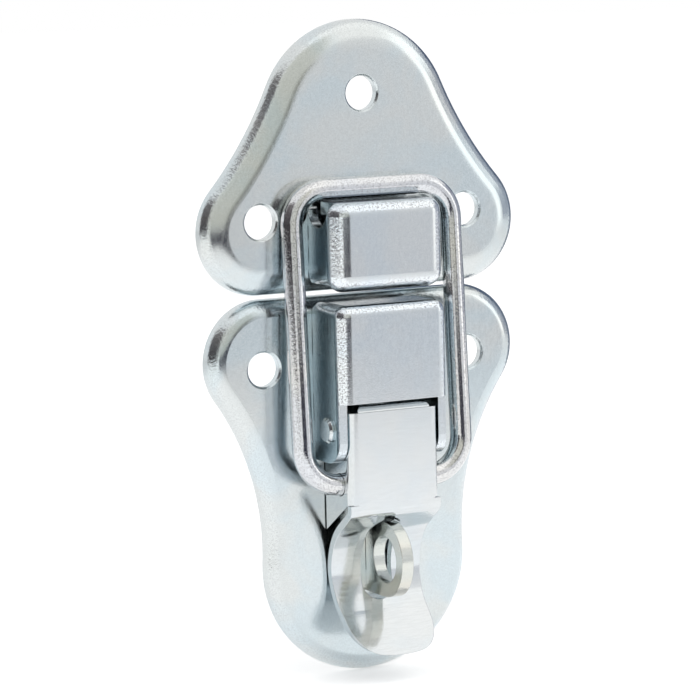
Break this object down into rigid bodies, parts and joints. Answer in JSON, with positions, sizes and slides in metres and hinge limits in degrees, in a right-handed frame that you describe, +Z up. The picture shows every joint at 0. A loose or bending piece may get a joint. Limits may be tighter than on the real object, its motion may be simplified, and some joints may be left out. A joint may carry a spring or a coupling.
{
  "type": "over centre toggle latch",
  "caption": "Two shaped sheet steel plates joined across a case's parting line by a wire bail that a folded lever draws over centre, with an eye through the lever's slotted tab for a padlock.",
  "frame": {"origin": "on the mounting plane, in the middle of the parting line between the keeper plate and the base plate", "axes": "+X to the right, +Z up from the base plate to the keeper plate, -Y out of the front, the mounting plane at Y = 0"},
  "size_m": [0.054, 0.0146, 0.1001],
  "materials": {
    "plate_zinc": "bright zinc plate on pressed steel sheet",
    "bracket_zinc": "bright zinc plate with orange peel on the bends",
    "lever_zinc": "bright zinc plate",
    "wire_zinc": "bright zinc plate on drawn wire",
    "rivet_zinc": "bright zinc plate",
    "eye_zinc": "bright zinc plate, rough on the blanked edge"
  },
  "bodies": {
    "case_side": {"base_plate": "plate_zinc", "lever_housing": "bracket_zinc", "pivot_rivet": "rivet_zinc", "padlock_eye": "eye_zinc", "keeper_plate": "plate_zinc", "keeper_catch": "bracket_zinc"},
    "lever_arm": {"lever": "lever_zinc"},
    "bail": {"wire_bail": "wire_zinc"}
  },
  "joints": [
    {"name": "lever_hinge", "type": "hinge", "parent": "case_side", "child": "lever_arm", "pos_m": [0, -0.0076, -0.02], "axis": [-1, 0, 0], "range_deg": [0, 95]},
    {"name": "bail_hinge", "type": "hinge", "parent": "lever_arm", "child": "bail", "pos_m": [0, -0.0077, -0.0284], "axis": [-1, 0, 0], "range_deg": [-109.25, 0]}
  ],
  "couplings": [
    {"joint": "bail_hinge", "follows": "lever_hinge", "ratio": -1.15}
  ]
}
